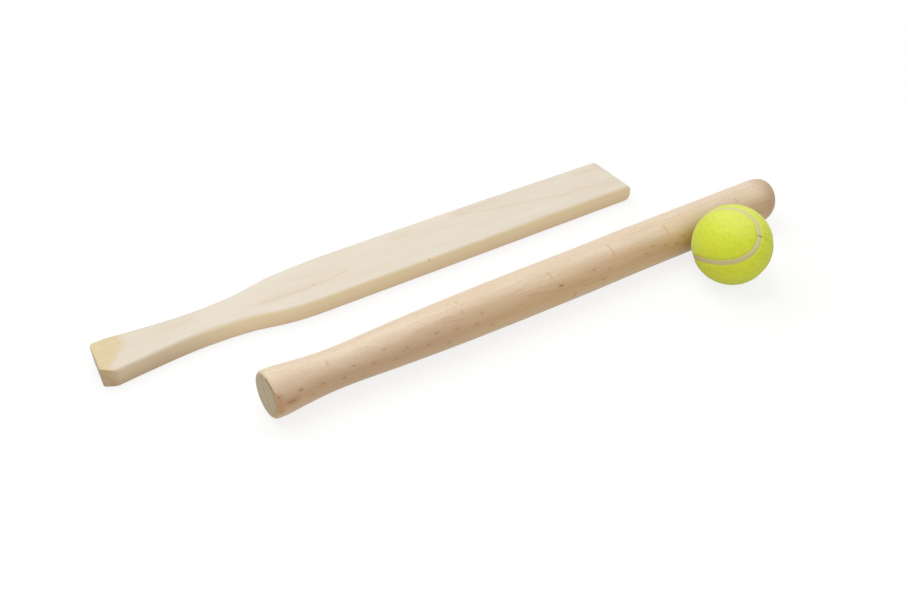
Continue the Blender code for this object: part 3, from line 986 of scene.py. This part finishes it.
def beech_wood():
    """Beech: tan, with painted shade on its lower near side and painted floor light along its lowest part,
    fine ray flecks, pin knots, scars and ringed end grain, and painted shade at the tip and on the butt face.
    """
    n = Nodes(bpy.data.materials.new("beech_wood"))
    low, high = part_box("round_bat")
    pith = (0.0, (low.y + high.y) / 2 - BEECH_PITH_ASIDE, high.z + BEECH_PITH_ABOVE)
    late = n.rings(pith, BEECH_RING_SPACING, BEECH_RING_WARP)
    fibre = n.noise(*BEECH_FIBRE, detail=4.0)
    cloud = n.noise(*BEECH_CLOUD, detail=3.0)
    fleck_area = n.band(n.noise(*FLECK_AREA, detail=2.0), zero_at=0.3, one_at=0.6)
    flecks = n.math("MULTIPLY", n.band(n.noise(*FLECK, detail=1.0), zero_at=0.6, one_at=0.72), fleck_area)
    spoke = n.vector("SUBTRACT", n.place(), (low + high) / 2)
    towards_shaded_side = n.vector("DOT_PRODUCT", spoke, SHADED_SIDE, output="Value")
    wander = n.math("MULTIPLY", n.math("SUBTRACT", cloud, 0.5), SHADE_WANDER)
    # Painted shade on the lower near side of the bat, with a wandering border.
    painted_side_shade = n.band(n.math("ADD", towards_shaded_side, wander), zero_at=SHADE_FROM, one_at=SHADE_FULL)
    painted_floor_bounce = n.band(towards_shaded_side, zero_at=FLOOR_BOUNCE_FROM, one_at=FLOOR_BOUNCE_FULL)
    barrel = n.band(n.part(n.place(), "X"), zero_at=low.x + GRIP_END, one_at=low.x + BARREL_FROM)
    # The shaded side's tone, darker towards the butt.
    shaded_side_tone = n.blend(barrel, colour(200, 169, 136), colour(209, 176, 134))
    # Painted light from the floor: lighter along the lowest part of the shaded side.
    shaded_side_tone = n.tint(shaded_side_tone, painted_floor_bounce, colour(221, 197, 153), by=0.9)
    tone = n.blend(cloud, colour(242, 228, 206), colour(231, 207, 175))
    tone = n.tint(tone, painted_side_shade, shaded_side_tone, by=0.9)
    tone = n.tint(tone, late, colour(200, 150, 106), by=0.1)
    tone = n.tint(tone, n.band(fibre, zero_at=0.4, one_at=0.8), colour(198, 154, 112), by=0.26)
    tone = n.tint(tone, flecks, colour(184, 116, 66), by=0.36)
    # Painted shade at the tip.
    tone = n.tint(tone, n.painted("painted_tip_shade"), colour(190, 158, 122), by=0.85)
    tone = n.tint(tone, n.painted("blush"), colour(176, 120, 78), by=0.4)
    # The butt face: darker end grain, with painted shade on it too.
    tone = n.tint(tone, n.painted("butt_face"), colour(183, 164, 121), by=0.92)
    endways = n.math("ABSOLUTE", n.part(n.normal(), "X"))
    end_grain = n.math("MAXIMUM", n.painted("butt_face"), n.band(endways, zero_at=0.75, one_at=0.98))
    tone = n.tint(tone, n.math("MULTIPLY", end_grain, late), colour(150, 124, 86), by=0.3)
    tone = n.tint(tone, n.painted("grain_line"), colour(168, 118, 74), by=0.22)
    tone = n.tint(tone, n.painted("streak"), colour(142, 88, 50), by=0.6)
    tone = n.tint(tone, n.painted("scar"), colour(200, 122, 60), by=0.6)
    tone = n.tint(tone, n.painted("knot"), colour(140, 68, 22), by=0.8)
    n.set_shader("Base Color", tone)
    n.set_shader("Roughness", n.band(fibre, zero_at=-0.7, one_at=2.4))
    n.set_shader("Specular IOR Level", 0.3)
    n.set_bump(n.math("SUBTRACT", fibre, n.math("MULTIPLY", flecks, 0.5)), BEECH_BUMP)
    return n.owner


# The ball's materials
FELT_MOTTLE = (4.5 * MM, 2.6 * MM)
FELT_FUZZ = (0.7 * MM, 0.7 * MM)
FELT_WISP = (1.1 * MM, 1.1 * MM)
FELT_BUMP = 0.18 * MM
CEMENT_CLOUD = (5.0 * MM, 5.0 * MM)
CEMENT_GRIT = (0.6 * MM, 0.6 * MM)
CEMENT_BUMP = 0.06 * MM
RUBBER_GRIT = (0.8 * MM, 0.8 * MM)
RUBBER_BUMP = 0.05 * MM


def yellow_felt():
    """Napped felt: mottled yellow-green, paler on top by painted light, with a sheen of loose fibres."""
    n = Nodes(bpy.data.materials.new("yellow_felt"))
    mottle = n.noise(*FELT_MOTTLE, detail=3.0)
    fuzz = n.noise(*FELT_FUZZ, detail=3.0)
    painted_top_light = n.band(n.part(n.normal(), "Z"), zero_at=0.55, one_at=1.0)
    tone = n.blend(n.band(mottle, zero_at=0.3, one_at=0.7), colour(224, 237, 64), colour(215, 228, 52))
    tone = n.tint(tone, n.band(fuzz, zero_at=0.45, one_at=0.75), colour(244, 250, 112), by=0.4)
    # Painted light: paler where the felt faces up.
    tone = n.tint(tone, painted_top_light, colour(250, 255, 150), by=0.3)
    # Painted shade in the mould line's crease.
    tone = n.tint(tone, n.painted("crease"), colour(170, 170, 40), by=0.36)
    n.set_shader("Base Color", tone)
    n.set_shader("Roughness", 1.0)
    n.set_shader("Specular IOR Level", 0.4)
    n.set_shader("Sheen Weight", 0.4)
    n.set_shader("Sheen Roughness", 0.5)
    n.set_shader("Sheen Tint", colour(248, 255, 200))
    n.set_bump(fuzz, FELT_BUMP)
    return n.owner


def seam_cement():
    """Dull rubber cement: a grey-tan band, paler on top by painted light, with fine grit, the mould mark and
    wisps of felt.
    """
    n = Nodes(bpy.data.materials.new("seam_cement"))
    cloud = n.noise(*CEMENT_CLOUD, detail=3.0)
    grit = n.noise(*CEMENT_GRIT, detail=2.0)
    painted_top_light = n.band(n.part(n.normal(), "Z"), zero_at=0.2, one_at=0.6)
    wisps = n.band(n.noise(*FELT_WISP, detail=2.0), zero_at=0.25, one_at=0.65)
    tone = n.blend(cloud, colour(219, 208, 153), colour(205, 192, 137))
    # Painted light: paler where the band faces up.
    tone = n.tint(tone, painted_top_light, colour(251, 251, 184), by=0.32)
    tone = n.tint(tone, n.band(grit, zero_at=0.55, one_at=0.75), colour(190, 175, 122), by=0.3)
    tone = n.tint(tone, n.painted("mark"), colour(110, 92, 62), by=1.1)
    tone = n.tint(tone, n.painted("felted"), colour(226, 234, 78), by=wisps)
    n.set_shader("Base Color", tone)
    n.set_shader("Roughness", n.band(grit, zero_at=-1.0, one_at=1.2))
    n.set_bump(grit, CEMENT_BUMP)
    return n.owner


def core_rubber():
    """Black moulded rubber of the hollow core, inside the felt."""
    n = Nodes(bpy.data.materials.new("core_rubber"))
    grit = n.noise(*RUBBER_GRIT, detail=3.0)
    n.set_shader("Base Color", n.blend(grit, colour(62, 58, 55), colour(84, 80, 76)))
    n.set_shader("Roughness", n.band(grit, zero_at=-1.5, one_at=1.2))
    n.set_bump(grit, RUBBER_BUMP)
    return n.owner


# Stage: floor, world and lamps

# Metres and watts; the floor fades between two distances from its middle
FLOOR_SIZE = 6.0
FLOOR_DROP = 0.3 * MM
FLOOR_COLOUR = colour(212, 203, 190)
FLOOR_SHADOW = (0.22, 0.22, 0.22, 1.0)
FLOOR_GLOW = 0.8
FLOOR_FADE_FROM = 0.45
FLOOR_FADE_TO = 0.95
WHITE = (1.0, 1.0, 1.0, 1.0)
SKY_COLOUR = (1.0, 0.985, 0.96, 1.0)
SKY_STRENGTH = 0.5
KEY_AZIMUTH = math.radians(100.0)
KEY_ELEVATION = math.radians(66.0)
KEY_DISTANCE = 1.7
KEY_SIZE = 1.5
KEY_POWER = 15.4
FILL_AZIMUTH = math.radians(-110.0)
FILL_ELEVATION = math.radians(30.0)
FILL_DISTANCE = 1.6
FILL_SIZE = 1.2
FILL_POWER = 5.1


def shown_directly(n):
    """1 for rays from the camera, from a mirror or through glass, else 0."""
    path = n.tree.nodes.new("ShaderNodeLightPath")
    seen = n.math("MAXIMUM", path.outputs["Is Camera Ray"], path.outputs["Is Glossy Ray"])
    return n.math("MAXIMUM", seen, path.outputs["Is Transmission Ray"])


def add_floor():
    """A pale floor that shows white, keeps the object's shadow and fades into the background further out."""
    half = FLOOR_SIZE / 2
    corners = [(x, y, -FLOOR_DROP) for x, y in ((-half, -half), (half, -half), (half, half), (-half, half))]
    floor = add_piece("floor", corners, [(0, 1, 2, 3)])
    n = Nodes(bpy.data.materials.new("floor"))
    n.tree.nodes.remove(n.tree.nodes["Principled BSDF"])
    plain = n.add("ShaderNodeBsdfDiffuse", {"Color": FLOOR_COLOUR})
    shade = n.add("ShaderNodeBsdfDiffuse", {"Color": FLOOR_SHADOW})
    glow = n.add("ShaderNodeEmission", {"Strength": FLOOR_GLOW})
    shadowed = n.add("ShaderNodeAddShader", {0: shade, 1: glow})
    white = n.add("ShaderNodeEmission", {"Strength": 1.0})
    from_middle = n.vector("LENGTH", n.place(), output="Value")
    fade = n.band(from_middle, zero_at=FLOOR_FADE_FROM, one_at=FLOOR_FADE_TO)
    shown = n.add("ShaderNodeMixShader", {0: fade, 1: shadowed, 2: white})
    surface = n.add("ShaderNodeMixShader", {0: shown_directly(n), 1: plain, 2: shown})
    n.feed(n.tree.nodes["Material Output"].inputs["Surface"], surface)
    floor.data.materials.append(n.owner)


def add_world():
    """A soft even sky that shows white."""
    n = Nodes(bpy.data.worlds.new("studio"))
    bpy.context.scene.world = n.owner
    sky = n.tree.nodes["Background"]
    n.feed(sky.inputs["Color"], SKY_COLOUR)
    n.feed(sky.inputs["Strength"], SKY_STRENGTH)
    white = n.add("ShaderNodeBackground", {"Color": WHITE})
    surface = n.add("ShaderNodeMixShader", {0: shown_directly(n), 1: sky.outputs[0], 2: white})
    n.feed(n.tree.nodes["World Output"].inputs["Surface"], surface)


def add_softbox(name, azimuth, elevation, distance, size, power):
    """A large soft lamp that looks at the middle of the set."""
    data = bpy.data.lights.new(name, "AREA")
    data.shape = "SQUARE"
    data.size = size
    data.energy = power
    lamp = bpy.data.objects.new(name, data)
    level = math.cos(elevation)
    way = Vector((math.cos(azimuth) * level, math.sin(azimuth) * level, math.sin(elevation)))
    lamp.location = way * distance
    lamp.rotation_euler = way.to_track_quat("Z", "Y").to_euler()
    bpy.context.scene.collection.objects.link(lamp)


build_flat_bat()
build_round_bat()
build_ball()
add_camera()
add_floor()
add_world()
add_softbox("key", KEY_AZIMUTH, KEY_ELEVATION, KEY_DISTANCE, KEY_SIZE, KEY_POWER)
add_softbox("fill", FILL_AZIMUTH, FILL_ELEVATION, FILL_DISTANCE, FILL_SIZE, FILL_POWER)
bpy.context.scene.view_settings.view_transform = "Standard"
